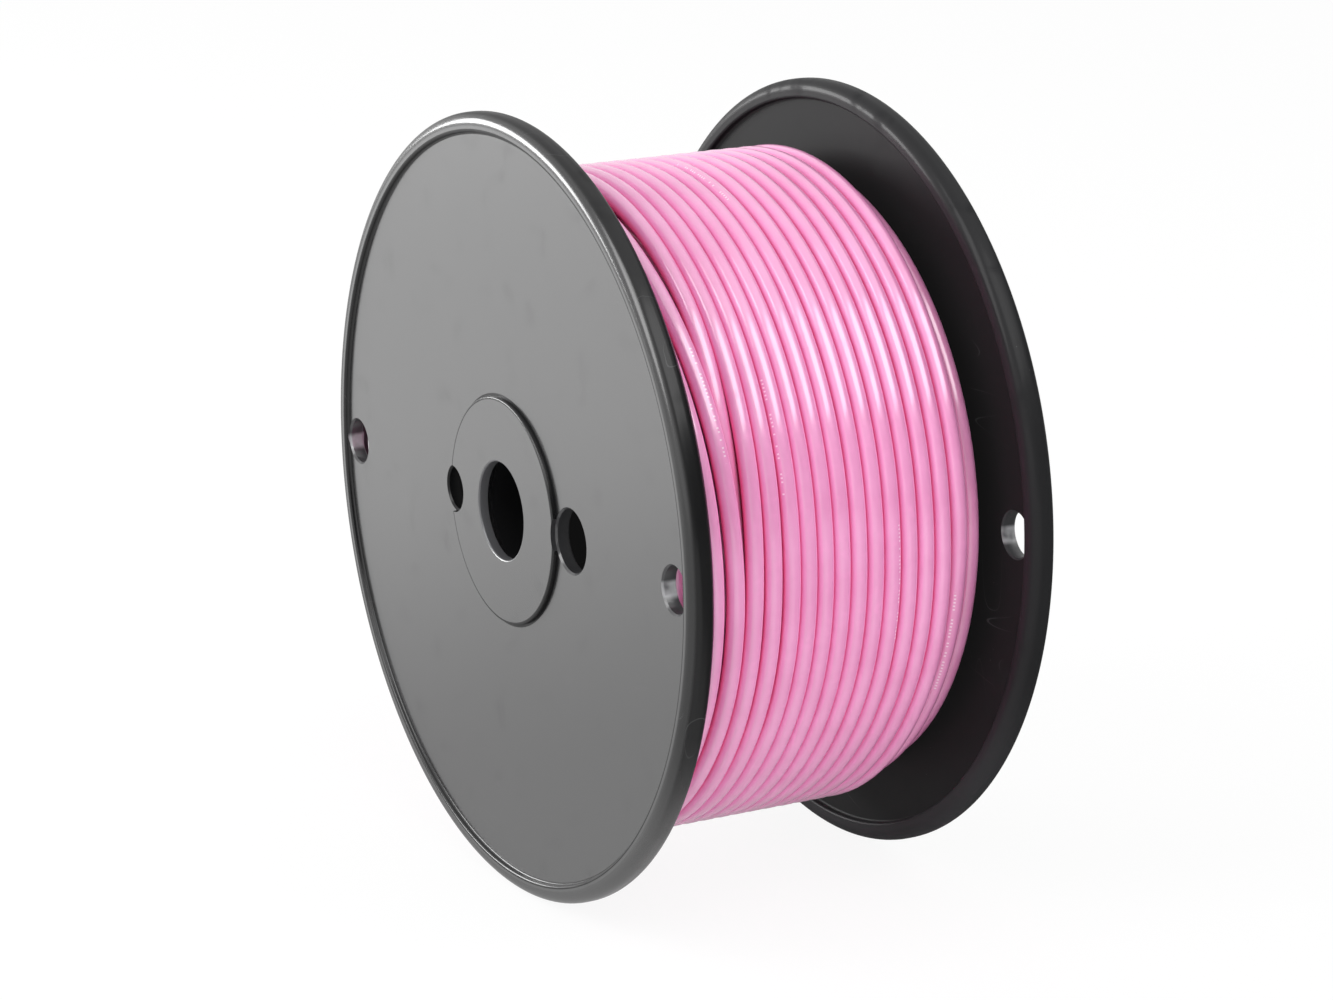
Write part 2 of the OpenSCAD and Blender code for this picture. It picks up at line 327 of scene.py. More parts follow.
@dataclass(frozen=True)
class BlackPlastic:
    """Moulded black plastic: glossier on its outer faces, with fine handling marks."""

    colour: Colour = (0.006, 0.006, 0.0064)
    # Painted light: a lighter grey for the rear bead, in place of the light seen on it
    rear_bead_painted_light_colour: Colour = (0.029, 0.029, 0.031)
    worn_colour: Colour = (0.075, 0.075, 0.078)
    # Painted light: the holes' walls are coloured lighter than the plastic, lightest at the bore's lip
    wall_painted_light_colour: Colour = (0.035, 0.035, 0.037)
    lip_painted_light_colour: Colour = (0.085, 0.085, 0.09)
    # Painted highlight on the middle of the holes' walls
    painted_highlight_colour: Colour = (0.3, 0.3, 0.31)
    roughness: float = 0.5
    base_specular: float = 0.1
    coat_roughness: float = 0.2
    coat_ior: float = 2.45

    # Gloss of the rim beads, the share of the rear bead's painted light on its upper part, and a faint
    # painted glow that stands in for the light between the flanges
    front_bead_coat: float = 0.42
    low_bead_coat: float = 0.42
    rear_bead_coat: float = 0.05
    edge_dull: float = 0.65
    high_painted_light: float = 0.35
    inner_painted_glow: float = 0.005

    # Zones: a height, a depth along the axis, and distances from the axis
    low_zone: Range = (-45.0 * MM, -20.0 * MM)
    face_zone: Range = (29.2 * MM, 30.8 * MM)
    bead_zone: Range = (60.0 * MM, 60.6 * MM)
    round_zone: Range = (61.2 * MM, 62.0 * MM)
    edge_zone: Range = (62.9 * MM, 63.3 * MM)
    tube_r: float = 9.0 * MM

    # Dull creases at the foot of the boss and of the bead
    creases: tuple[float, ...] = (18.4 * MM, 60.45 * MM)
    crease_width: float = 0.45 * MM
    crease_coat: float = 0.25

    # Walls of the holes, painted lighter for the light on them, and the painted highlight patch at their
    # middle
    wall_from: float = 27.6 * MM
    lip_from: float = 30.3 * MM
    wall_edge: float = 0.3 * MM
    wall_dull: float = 0.6
    pin_dull: float = 0.9
    patch_low: float = 0.8 * MM
    patch_half: float = 0.8 * MM
    patch_from: float = 18.6 * MM
    patch_mottle: Mottle = Mottle(400, 2, (0.15, 0.6))

    # Handling marks and the fine relief of the surface
    scratch: Mottle = Mottle(55, 1)
    scratch_width: float = 0.0012
    scratch_stretches: tuple[Triple, ...] = ((0.3, 1, 1.6), (1.7, 1, 0.35))
    scratch_area: Mottle = Mottle(70, 2, (0.52, 0.68))
    scratch_wear: float = 0.5
    scratch_rough: float = 0.15
    speck: Mottle = Mottle(1900, 1, (0.78, 0.82))
    speck_area: Mottle = Mottle(90, 2, (0.5, 0.7))
    speck_wear: float = 0.6
    scuff: Mottle = Mottle(160, 5, (0.55, 0.8))
    scuff_wear: float = 0.04
    scuff_rough: float = 0.1
    scuff_dull: float = 0.1
    grain: Mottle = Mottle(2600, 2)
    grain_share: float = 0.25
    ripple: Mottle = Mottle(45, 1)
    ripple_rough: float = 0.06
    relief: float = 0.01 * MM

    def _scratches(self, place: Term) -> Term:
        """Thin curved lines where a stretched noise crosses its middle, in two directions."""
        found = []
        for stretch in self.scratch_stretches:
            lines = (self.scratch.level(place, stretch) - 0.5).absolute() < self.scratch_width
            found.append(lines * self.scratch_area.mask(place))
        return found[0] + found[1]

    def _walls(self, bench: Bench, across: Term, along: Term, up: Term) -> tuple[Term, Term]:
        """Masks of the walls of the flanges' holes, and of the narrow pin hole.

        Args:
            bench: the material's bench.
            across: place across the reel.
            along: place along its axis.
            up: height over its axis.

        Returns:
            The mask of the bore and the wider holes, and the pin hole's.
        """
        holes = ((0.0, BORE_R, self.lip_from), *((x, r, self.wall_from) for x, r in FLANGE_HOLES))
        masks = []
        for x, r, start in holes:
            away = bench.length(across - x, up)
            masks.append((away < r + self.wall_edge) * (along.absolute() > start))
        walls = masks[0]
        for mask in masks[1:-1]:
            walls = bench.larger(walls, mask)
        return walls, masks[-1]

    def make(self) -> bpy.types.Material:
        """Builds the material."""
        material = bpy.data.materials.new("black_plastic_moulded")
        bench = Bench(material)
        place = bench.place()
        across, along, up = bench.parts(place)
        from_axis = bench.length(across, up)
        face = along.absolute().between(*self.face_zone)
        bead = from_axis.between(*self.bead_zone)
        rear = along > 0.0
        low = 1 - up.between(*self.low_zone)

        edge = from_axis.between(*self.edge_zone) * (1 - low)
        front_coat = (self.front_bead_coat + low * self.low_bead_coat) * (1 - edge * self.edge_dull)
        bead_coat = front_coat + rear * (self.rear_bead_coat - front_coat)
        outer = bench.larger(face * (1 - from_axis.between(*self.round_zone)), bead * bead_coat)
        for r in self.creases:
            crease = (from_axis - r).absolute() < self.crease_width
            outer = outer * (1 - crease * (1 - self.crease_coat))
        # Painted glow: the inner faces glow faintly, in place of the light between the flanges
        painted_glow = (1 - bench.larger(face, bead)) * (from_axis > self.tube_r) * self.inner_painted_glow

        scratches = self._scratches(place)
        specks = self.speck.mask(place) * self.speck_area.mask(place)
        scuffs = self.scuff.mask(place)
        grain = self.grain.level(place)
        ripple = self.ripple.level(place)
        fine = grain * self.grain_share + ripple * (1 - self.grain_share)
        worn = scratches * self.scratch_wear + specks * self.speck_wear + scuffs * self.scuff_wear
        rough = self.roughness + scuffs * self.scuff_rough + scratches * self.scratch_rough

        walls, pin_hole = self._walls(bench, across, along, up)
        # Painted highlight: a bright mottled patch across the middle height of the outer holes' walls
        patch = 1 - (up + self.patch_low).absolute().between(self.patch_half, self.patch_half * 2)
        painted_highlight = patch * (from_axis > self.patch_from) * self.patch_mottle.mask(place)
        # Painted light: the rear bead turns lighter grey, fully toward the bottom and partly above
        rear_bead_painted_light = bead * rear * (self.high_painted_light + low * (1 - self.high_painted_light))
        colour = bench.mix(rear_bead_painted_light, self.colour, self.rear_bead_painted_light_colour)
        colour = bench.mix(worn, colour, self.worn_colour)
        # Painted light: lighter grey on the holes' walls, lightest at the bore's lip
        wall = bench.mix(from_axis < self.tube_r, self.wall_painted_light_colour, self.lip_painted_light_colour)
        colour = bench.mix(walls, colour, bench.mix(painted_highlight, wall, self.painted_highlight_colour))
        coat = outer * (1 - walls * self.wall_dull) * (1 - pin_hole * self.pin_dull)
        bench.surface(
            {
                "Base Color": colour,
                "Roughness": rough + (ripple - 0.5) * self.ripple_rough,
                "Specular IOR Level": self.base_specular,
                "Coat Weight": coat - scuffs * self.scuff_dull,
                "Coat Roughness": self.coat_roughness,
                "Coat IOR": self.coat_ior,
                "Emission Color": bench.mix(painted_glow, (0, 0, 0), (1, 1, 1)),
                "Emission Strength": 1.0,
                "Normal": bench.bump(fine, self.relief),
            }
        )
        return material


@dataclass(frozen=True)
class PinkInsulation:
    """Smooth pink wire insulation, printed with small plain white dashes along its length."""

    colour: Colour = (0.82, 0.305, 0.565)
    deep_colour: Colour = (0.78, 0.265, 0.515)
    # Painted shade: deeper crimson for the flanks between turns and for the layer below
    flank_painted_shade_colour: Colour = (0.95, 0.16, 0.4)
    buried_painted_shade_colour: Colour = (0.98, 0.11, 0.28)
    print_colour: Colour = (0.95, 0.85, 0.9)
    roughness: float = 0.5
    specular: float = 0.4
    coat_roughness: float = 0.14
    coat_ior: float = 2.3

    # Zones round the wire, in turns from its outer side, for the flanks' painted shade and roughness and
    # for the gloss, and where the layer below is bare of its painted shade
    flank_zone: Range = (0.16, 0.25)
    flank_rough: float = 0.4
    dull_zone: Range = (0.08, 0.14)
    bare_zone: Range = (24.0 * MM, 25.0 * MM)

    # Uneven dye, handling and a fine relief
    cloud: Mottle = Mottle(120, 3, (0.3, 0.75))
    handling: Mottle = Mottle(420, 4, (0.5, 0.8))
    handled_rough: float = 0.1
    handled_dull: float = 0.3
    dimples: Mottle = Mottle(500, 2)
    dimple_depth: float = 0.006 * MM

    # Printed dashes: shares of a dash's cell, groups in metres and turns round the wire
    dash_pitch: float = 0.6 * MM
    dash_half: float = 0.2
    dash_gaps: float = 0.3
    dash_jitter: float = 0.01
    dash_strength: float = 0.6
    print_every: float = 0.13
    print_share: float = 0.14
    print_half_height: float = 0.02
    print_twist: float = 0.9

    def _dashes(self, bench: Bench, along: Term, around: Term) -> Term:
        """Groups of short dashes in a line that turns slowly round the wire.

        Args:
            bench: the material's bench.
            along: distance along the wire in metres.
            around: angle round the wire, 0 outward, in turns.

        Returns:
            1 on a dash and 0 elsewhere.
        """
        cell = along / self.dash_pitch
        chance = bench.node(
            "ShaderNodeTexWhiteNoise", {"noise_dimensions": "1D"}, {"W": cell.floor()}, "Value"
        )
        stroke = ((cell.fraction() - 0.5).absolute() < self.dash_half) * (chance > self.dash_gaps)
        group = (along / self.print_every).fraction() < self.print_share
        line = (around + along * self.print_twist + chance * self.dash_jitter).fraction() - 0.5
        return stroke * group * (line.absolute() < self.print_half_height)

    def make(self) -> bpy.types.Material:
        """Builds the material."""
        material = bpy.data.materials.new("pink_insulation")
        bench = Bench(material)
        along, around, under = bench.parts(
            bench.node("ShaderNodeAttribute", {"attribute_name": WireTube.TRACK}, output="Vector")
        )
        place = bench.place()
        _, across, _ = bench.parts(place)
        # Painted shade: the flanks between turns and the layer below take a deeper crimson, in place of
        # the light bounced between the turns
        buried = under * (1 - across.between(*self.bare_zone))
        flank = around.absolute().between(*self.flank_zone)
        shine = 1 - around.absolute().between(*self.dull_zone)
        handled = self.handling.mask(place)
        body = bench.mix(self.cloud.mask(place), self.colour, self.deep_colour)
        body = bench.mix(buried, bench.mix(flank, body, self.flank_painted_shade_colour), self.buried_painted_shade_colour)
        dashes = self._dashes(bench, along, around) * self.dash_strength
        bench.surface(
            {
                "Base Color": bench.mix(dashes, body, self.print_colour),
                "Roughness": self.roughness + handled * self.handled_rough + flank * self.flank_rough,
                "Specular IOR Level": self.specular,
                "Coat Weight": (1 - handled * self.handled_dull) * shine,
                "Coat Roughness": self.coat_roughness,
                "Coat IOR": self.coat_ior,
                "Normal": bench.bump(self.dimples.level(place), self.dimple_depth),
            }
        )
        return material


@dataclass(frozen=True)
class CopperStrand:
    """Bright drawn copper with fine streaks."""

    colour: Colour = (0.8, 0.48, 0.34)
    dull_colour: Colour = (0.55, 0.3, 0.2)
    roughness: float = 0.25
    streak: Mottle = Mottle(6000, 2)
    streak_rough: float = 0.2

    def make(self) -> bpy.types.Material:
        """Builds the material."""
        material = bpy.data.materials.new("copper_strand")
        bench = Bench(material)
        streaks = self.streak.level(bench.place())
        bench.surface(
            {
                "Base Color": bench.mix(streaks, self.colour, self.dull_colour),
                "Metallic": 1.0,
                "Roughness": self.roughness + streaks * self.streak_rough,
            }
        )
        return material


@dataclass(frozen=True)
class WireRoute:
    """Route of the wire round the reel, in metres, as turns counted from its cut end."""

    wire_d: float = 2.85 * MM
    turn_gap: float = 0.15 * MM
    layer_r: float = 51.575 * MM
    layer_step: float = 2.6 * MM
    inner_face: float = 28.7 * MM
    clear: float = 0.1 * MM
    finish_angle: float = 173.0
    front_slack: float = 1.7 * MM
    rear_bare: float = 6.35 * MM
    rings_per_turn: int = 24

    # Drop from the outer layer to the turn below it at the rear flange
    lower_space: float = 2.1 * MM
    lower_drift: float = 1.2 * MM
    drop_turns: float = 0.35
    drop_wait: float = 0.3
    drop_shift: float = 1.6
    lower_turns: float = 0.55

    # Loose first turns, as turn number and place along the axis, and the one that sinks
    crossing: tuple[Range, ...] = (
        (0.0, 0.0),
        (0.36, 5.3 * MM),
        (0.5, 5.3 * MM),
        (0.72, 2.7 * MM),
        (1.0, 3.2 * MM),
        (1.3, 8.6 * MM),
        (1.5, 8.8 * MM),
        (1.72, 6.0 * MM),
        (2.3, 10.4 * MM),
        (2.66, 10.28 * MM),
    )
    sink_turns: Range = (1.85, 2.1)
    rise_turns: Range = (2.54, 2.66)

    # Looseness of the layer, its sag under the reel, and the last turn drawn in
    swell: float = 0.35 * MM
    swell_turns: float = 0.3
    sag: float = 1.0 * MM
    sag_top: float = 0.15
    sag_span: float = 0.6
    tight_turns: Range = (14.9, 15.2)
    tail_turn: float = 15.42
    tail_shift: float = 0.5 * MM
    tail_sink: float = 0.5 * MM

    # Gaps between the turns, which close up toward the rear
    spread: float = 0.6 * MM
    spread_turns: float = 6.0
    wave_turns: tuple[Range, ...] = ((3.487, 0.43), (4.487, 0.22))
    wave_half: float = 1 / 6

    # Layer below, which stops where the sunk turn needs its space
    settle_turns: float = 0.125
    inner_stop: float = 13.3 * MM

    @property
    def wire_r(self) -> float:
        """Radius of the wire."""
        return self.wire_d / 2

    @property
    def pitch(self) -> float:
        """Distance between neighbouring turns."""
        return self.wire_d + self.turn_gap

    @property
    def first_y(self) -> float:
        """Place of the first turn, beside the front flange."""
        return self.wire_r + self.clear - self.inner_face

    @property
    def top_turns(self) -> float:
        """Turns of the outer layer."""
        return (self.inner_face - self.rear_bare - self.first_y - self.front_slack) / self.pitch

    @property
    def end_turn(self) -> float:
        """Turn at which the part below the outer layer ends."""
        turns = self.top_turns + self.drop_turns + self.lower_turns
        return math.floor(turns * self.rings_per_turn) / self.rings_per_turn

    def _bump(self, turn: float, middle: float) -> float:
        """Soft bump of height 1 round a turn number."""
        away = abs(turn - middle)
        return (1 + math.cos(math.pi * away / self.wave_half)) / 2 if away < self.wave_half else 0.0

    def _crossing_y(self, turn: float) -> float:
        """Place of the loose first turns, eased from each point of the crossing to the next."""
        for (start, low), (end, high) in zip(self.crossing, self.crossing[1:]):
            if turn < end:
                return self.first_y + low + (high - low) * smooth_step((turn - start) / (end - start))
        return self.first_y + self.crossing[-1][1]

    def _top_y(self, turn: float) -> float:
        """Place along the axis in the outer layer, where the slack closes up in fading waves."""
        if turn < self.crossing[-1][0]:
            return self._crossing_y(turn)
        waves = sum(share * self._bump(turn, middle) for middle, share in self.wave_turns)
        spread = self.spread * (1 - clamped((turn - self.crossing[-1][0]) / self.spread_turns))
        tail = self.tail_shift * self._bump(turn, self.tail_turn)
        return self.first_y + self.pitch * turn + self.front_slack * (1 - waves) + spread + tail

    def _sunk(self, turn: float) -> float:
        """Share by which the third turn sinks into the layer below, between its neighbours."""
        (down, low), (up, high) = self.sink_turns, self.rise_turns
        return smooth_step((turn - down) / (low - down)) - smooth_step((turn - up) / (high - up))

    def _loose_r(self, turn: float) -> float:
        """Radius of the outer layer, which lies a little loose and sags under the reel."""
        height = math.sin(math.radians(self.finish_angle + 360 * turn))
        start, end = self.tight_turns
        tight = smooth_step((turn - start) / (end - start))
        sagging = smooth_step((self.sag_top - height) / self.sag_span)
        slack = self.swell + self.sag * sagging * (1 - tight)
        dip = self.tail_sink * tight * (1 - smooth_step((turn - self.tail_turn) / self.wave_half))
        return self.layer_r + slack * smooth_step(turn / self.swell_turns) - dip

    def outer(self, turn: float) -> Range:
        """Radius and place along the axis of the wire's outer stretch.

        Args:
            turn: turns from the cut end.

        Returns:
            Distance from the axis and place along it.
        """
        past = (turn - self.top_turns) / self.drop_turns
        dropped = smooth_step((past - self.drop_wait) / (1 - self.drop_wait))
        radius = self._loose_r(turn) - self.layer_step * (dropped + self._sunk(turn))
        if past <= 0:
            return radius, self._top_y(turn)
        start = self._top_y(self.top_turns)
        lower_y = self.inner_face - self.lower_space - self.wire_r
        drift = self.lower_drift * max(0.0, past - 1) * self.drop_turns
        return radius, start + (lower_y - start) * smooth_step(self.drop_shift * past) - drift

    def inner(self, turn: float) -> Range:
        """Radius and place along the axis of the layer below, which winds back to the front.

        Args:
            turn: turns past the end of the outer stretch.

        Returns:
            Distance from the axis and place along it.
        """
        radius, y = self.outer(self.end_turn)
        sunk = self.layer_r - self.wire_d
        settled = smooth_step(turn / self.settle_turns)
        return radius + (sunk - radius) * settled, y - self.pitch * turn

    @property
    def inner_turns(self) -> float:
        """Turns of the layer below."""
        return (self.outer(self.end_turn)[1] - self.first_y - self.inner_stop) / self.pitch


@dataclass
class WireTube:
    """Sweeps a round wire along a route and marks each point with its place on the wire."""

    TRACK = "wire_track"

    route: WireRoute
    rings_per_turn: int = 120
    bevel_steps: int = 6
    wander: float = 0.04 * MM
    sway: Range = (7.3, 2.1)
    under: float = 0.0

    def path(self, law: Callable[[float], Range], first_angle: float, turns: float) -> list[Vector]:
        """Points of the wire's centre, with the slow wander that real turns have.

        Args:
            law: radius and axial place at a turn number.
            first_angle: angle of turn 0 in degrees.
            turns: number of turns.

        Returns:
            Points from the first turn to the last.
        """
        count = round(turns * self.rings_per_turn)
        points = []
        for i in range(count + 1):
            turn = turns * i / count
            radius, y = law(turn)
            sway = math.sin(self.sway[0] * turn) * math.sin(self.sway[1] * turn)
            angle = math.radians(first_angle + 360 * turn)
            out, up = radius * math.cos(angle), radius * math.sin(angle)
            points.append(Vector((out, y + self.wander * sway, up)))
        return points

    def sweep(self, name: str, points: Sequence[Vector]) -> bpy.types.Mesh:
        """Sweeps the wire's section along the points.

        Args:
            name: name of the mesh.
            points: centre of the wire.

        Returns:
            A closed tube with the wire's track as an attribute.
        """
        curve = bpy.data.curves.new(name, "CURVE")
        curve.dimensions = "3D"
        curve.bevel_depth = self.route.wire_r
        curve.bevel_resolution = self.bevel_steps
        spline = curve.splines.new("POLY")
        spline.points.add(len(points) - 1)
        for point, place in zip(spline.points, points):
            point.co = (*place, 1)
        holder = linked(name, curve)
        shown = holder.evaluated_get(bpy.context.evaluated_depsgraph_get())
        mesh = bpy.data.meshes.new_from_object(shown)
        bpy.data.objects.remove(holder)
        self._mark(mesh, points)
        self._close(mesh)
        return mesh

    def _mark(self, mesh: bpy.types.Mesh, points: Sequence[Vector]) -> None:
        """Stores each vertex's distance along the wire, angle round it and whether it is buried.

        Args:
            mesh: the swept tube, ring after ring.
            points: centre of the wire at each ring.
        """
        sides = len(mesh.vertices) // len(points)
        lengths = [0.0]
        for a, b in zip(points, points[1:]):
            lengths.append(lengths[-1] + (b - a).length)
        track = mesh.attributes.new(self.TRACK, "FLOAT_VECTOR", "POINT")
        for index, vertex in enumerate(mesh.vertices):
            ring = index // sides
            centre = points[ring]
            outward = Vector((centre.x, 0, centre.z)).normalized()
            away = vertex.co - centre
            around = math.atan2(away.y, away.dot(outward)) / math.tau
            track.data[index].vector = (lengths[ring], around, self.under)

    @staticmethod
    def _close(mesh: bpy.types.Mesh) -> None:
        """Caps the tube's two ends and turns its faces outward."""
        shape = bmesh.new()
        shape.from_mesh(mesh)
        rims = [edge for edge in shape.edges if edge.is_boundary]
        bmesh.ops.holes_fill(shape, edges=rims, sides=0)
        bmesh.ops.recalc_face_normals(shape, faces=shape.faces)
        for face in shape.faces:
            face.smooth = len(face.verts) == 4
        shape.to_mesh(mesh)
        shape.free()


@dataclass
class WoundWire:
    """The wire on the barrel: its outer layer, the layer below it and the wound core."""

    finish: bpy.types.Material
    route: WireRoute = field(default_factory=WireRoute)
    lead_steps: int = 4
    core_in_r: float = 37.05 * MM
    core_steps: int = 96
    groove_steps: int = 6
    start_angle: float = 60.0
    start_y: float = -22.5 * MM
    start_bend_r: float = 6 * MM
    start_bend_steps: int = 12
    start_tail_r: float = 23.85 * MM
    start_tail: float = 10 * MM

    def _piece(self, name: str, mesh: bpy.types.Mesh, *nodes: str) -> bpy.types.Object:
        """Makes a finished piece of wire that stands for CAD nodes."""
        return reel_piece(name, mesh, self.finish, Slot.INSULATION, *nodes)

    def outer_layer(self) -> bpy.types.Object:
        """Builds the outer layer, from the cut end to the turn below it at the rear flange."""
        route = self.route
        tube = WireTube(route)
        points = tube.path(route.outer, route.finish_angle, route.end_turn)
        tangent = (points[0] - points[1]).normalized()
        steps = self.lead_steps
        lead = [points[0] + tangent * route.wire_d * (steps - i) / steps for i in range(steps)]
        mesh = tube.sweep("wire_outer_turns", lead + points)
        return self._piece("wire_outer_turns", mesh, "wire_top_layer")

    def layer_below(self) -> bpy.types.Object:
        """Builds the layer under the outer one, which shows in the gaps."""
        route = self.route
        tube = WireTube(route, rings_per_turn=72, bevel_steps=4, wander=0, under=1)
        start = route.finish_angle + 360 * route.end_turn
        mesh = tube.sweep("wire_inner_turns", tube.path(route.inner, start, route.inner_turns))
        return self._piece("wire_inner_turns", mesh, "wire_lower_layers")

    def core(self) -> bpy.types.Object:
        """Builds the layers further in as a grooved drum, one groove for each turn."""
        route = self.route
        shape = bmesh.new()
        crown = route.layer_r - route.wire_d - route.layer_step
        turns = int((2 * route.inner_face - route.wire_d) / route.pitch)
        half = turns * route.pitch / 2
        outline = [Vector((self.core_in_r, -half, 0))]
        for turn in range(turns):
            middle = route.pitch * (turn + 0.5) - half
            for step in range(self.groove_steps + 1):
                angle = math.pi * step / self.groove_steps
                out, back = route.wire_r * math.sin(angle), route.wire_r * math.cos(angle)
                outline.append(Vector((crown + out, middle - back, 0)))
        outline.append(Vector((self.core_in_r, half, 0)))
        verts = [shape.verts.new(place) for place in outline]
        edges = [shape.edges.new(pair) for pair in zip(verts, verts[1:] + verts[:1])]
        spin_round(shape, verts + edges, 0.0, self.core_steps)
        bmesh.ops.recalc_face_normals(shape, faces=shape.faces)
        for face in shape.faces:
            face.smooth = True
        return self._piece("wire_wound_core", mesh_of("wire_wound_core", shape), "wire_lower_layers")

    def start_lead(self) -> bpy.types.Object:
        """Builds the inner end: in through the barrel's hole, round a bend and along the reel."""
        turned = math.radians(self.start_angle)
        outward = Vector((math.cos(turned), 0, math.sin(turned)))
        along = Vector((0, 1, 0))
        bend = self.start_bend_r
        corner = outward * (self.start_tail_r + bend) + along * (self.start_y + bend)
        points = [outward * self.core_in_r + along * self.start_y]
        for step in range(self.start_bend_steps + 1):
            turn = math.pi / 2 * step / self.start_bend_steps
            points.append(corner - outward * bend * math.sin(turn) - along * bend * math.cos(turn))
        points.append(points[-1] + along * self.start_tail)
        mesh = WireTube(self.route).sweep("wire_start_lead", points)
        return self._piece("wire_start_lead", mesh, "wire_start_end")

    def build(self) -> list[bpy.types.Object]:
        """Builds all the wire."""
        return [self.outer_layer(), self.layer_below(), self.core(), self.start_lead()]


@dataclass(frozen=True)
class Corner:
    """A corner of a turned section: distance from the axis, depth inward and rounding."""

    r: float
    depth: float
    rounding: float = 0.0
    steps: int = 1


@dataclass
class FlangeMoulding:
    """A flange with its rim bead, boss and holes, and the socket, spigot and ribs inside the hub."""

    finish: bpy.types.Material
    outer_y: float = 32.0 * MM
    edge_r: float = 63.5 * MM
    rim_in_r: float = 60.4 * MM
    rim_depth: float = 4.4 * MM
    rim_round: float = 1.9 * MM
    rim_steps: int = 16
    web_top: float = 0.8 * MM
    web_under: float = 3.3 * MM
    fillet: float = 0.4 * MM
    fillet_steps: int = 6
    boss_r: float = 18.4 * MM
    boss_round: float = 0.3 * MM
    boss_steps: int = 5
    bore_round: float = 0.3 * MM
    bore_steps: int = 4
    lip: float = 1.6 * MM
    seat_r: float = 10.2375 * MM
    socket_r: float = 12.2375 * MM
    spigot_in_r: float = 32.85 * MM
    spigot_r: float = 34.85 * MM
    ring_h: float = 3.0 * MM
    spigot_chamfer: float = 0.5 * MM
    rib_count: int = 6
    rib_t: float = 1.8 * MM
    rib_h: float = 2.5 * MM
    sink: float = 0.5 * MM
    hole_chamfer: float = 0.3 * MM
    steps_round: int = 240
    hole_steps: int = 64
    merge: float = 1e-7
    level_normal: float = 0.9999
    sharp_angle: float = math.radians(28)

    def _section(self) -> tuple[Corner, ...]:
        """Corners of the half section, from the bore's mouth outward and back inside."""
        ring_top = self.web_under + self.ring_h
        fillet, rim = (self.fillet, self.fillet_steps), (self.rim_round, self.rim_steps)
        return (
            Corner(BORE_R, 0, self.bore_round, self.bore_steps),
            Corner(self.boss_r, 0, self.boss_round, self.boss_steps),
            Corner(self.boss_r, self.web_top),
            Corner(self.rim_in_r, self.web_top, *fillet),
            Corner(self.rim_in_r, 0, *fillet),
            Corner(self.edge_r, 0, *rim),
            Corner(self.edge_r, self.rim_depth, *rim),
            Corner(self.rim_in_r, self.rim_depth, *fillet),
            Corner(self.rim_in_r, self.web_under, *fillet),
            Corner(self.spigot_r, self.web_under),
            Corner(self.spigot_r, ring_top, self.spigot_chamfer),
            Corner(self.spigot_in_r, ring_top),
            Corner(self.spigot_in_r, self.web_under),
            Corner(self.socket_r, self.web_under),
            Corner(self.socket_r, ring_top),
            Corner(self.seat_r, ring_top),
            Corner(self.seat_r, self.lip),
            Corner(BORE_R, self.lip),
        )

    def _turned(self, corners: Sequence[Corner], centre_x: float, steps: int) -> bmesh.types.BMesh:
        """Turns a section about an axis along Y.

        Args:
            corners: the section's corners in order, each rounded by a bevel.
            centre_x: place of the axis.
            steps: faces round the full turn.

        Returns:
            A closed solid.
        """
        shape = bmesh.new()
        verts = [shape.verts.new((centre_x + c.r, c.depth - self.outer_y, 0)) for c in corners]
        shape.faces.new(verts)
        for vert, corner in zip(verts, corners):
            if corner.rounding:
                bmesh.ops.bevel(
                    shape, geom=[vert], offset=corner.rounding, offset_type="OFFSET",
                    segments=corner.steps, profile=0.5, affect="VERTICES", material=-1,
                    clamp_overlap=False,
                )
        bmesh.ops.delete(shape, geom=list(shape.faces), context="FACES_ONLY")
        bmesh.ops.remove_doubles(shape, verts=shape.verts, dist=self.merge)
        spin_round(shape, list(shape.verts) + list(shape.edges), centre_x, steps)
        bmesh.ops.remove_doubles(shape, verts=shape.verts, dist=self.merge)
        bmesh.ops.recalc_face_normals(shape, faces=shape.faces)
        return shape

    def _hole_cutter(self) -> bpy.types.Object:
        """Builds the pins that cut the holes, chamfered at both faces of the web."""
        pins = bmesh.new()
        for x, r in FLANGE_HOLES:
            wide = r + self.hole_chamfer
            section = (
                Corner(0, -self.sink),
                Corner(wide, -self.sink),
                Corner(wide, self.web_top),
                Corner(r, self.web_top + self.hole_chamfer),
                Corner(r, self.web_under - self.hole_chamfer),
                Corner(wide, self.web_under),
                Corner(wide, self.rim_depth + self.sink),
                Corner(0, self.rim_depth + self.sink),
            )
            pin = mesh_of("pin", self._turned(section, x, self.hole_steps))
            pins.from_mesh(pin)
            bpy.data.meshes.remove(pin)
        return linked("hole_cutter", mesh_of("hole_cutter", pins))

    def _rib_block(self) -> bpy.types.Object:
        """Builds the ribs between the arbor's socket and the spigot."""
        ribs = bmesh.new()
        near, far = self.socket_r - self.sink, self.spigot_in_r + self.sink
        middle = self.web_under + (self.rib_h - self.sink) / 2 - self.outer_y
        out = Matrix.Translation(((near + far) / 2, middle, 0))
        size = Matrix.Diagonal((far - near, self.rib_h + self.sink, self.rib_t, 1))
        for i in range(self.rib_count):
            turned = Matrix.Rotation(math.tau * (i + 0.5) / self.rib_count, 4, "Y")
            bmesh.ops.create_cube(ribs, size=1.0, matrix=turned @ out @ size)
        return linked("rib_block", mesh_of("rib_block", ribs))

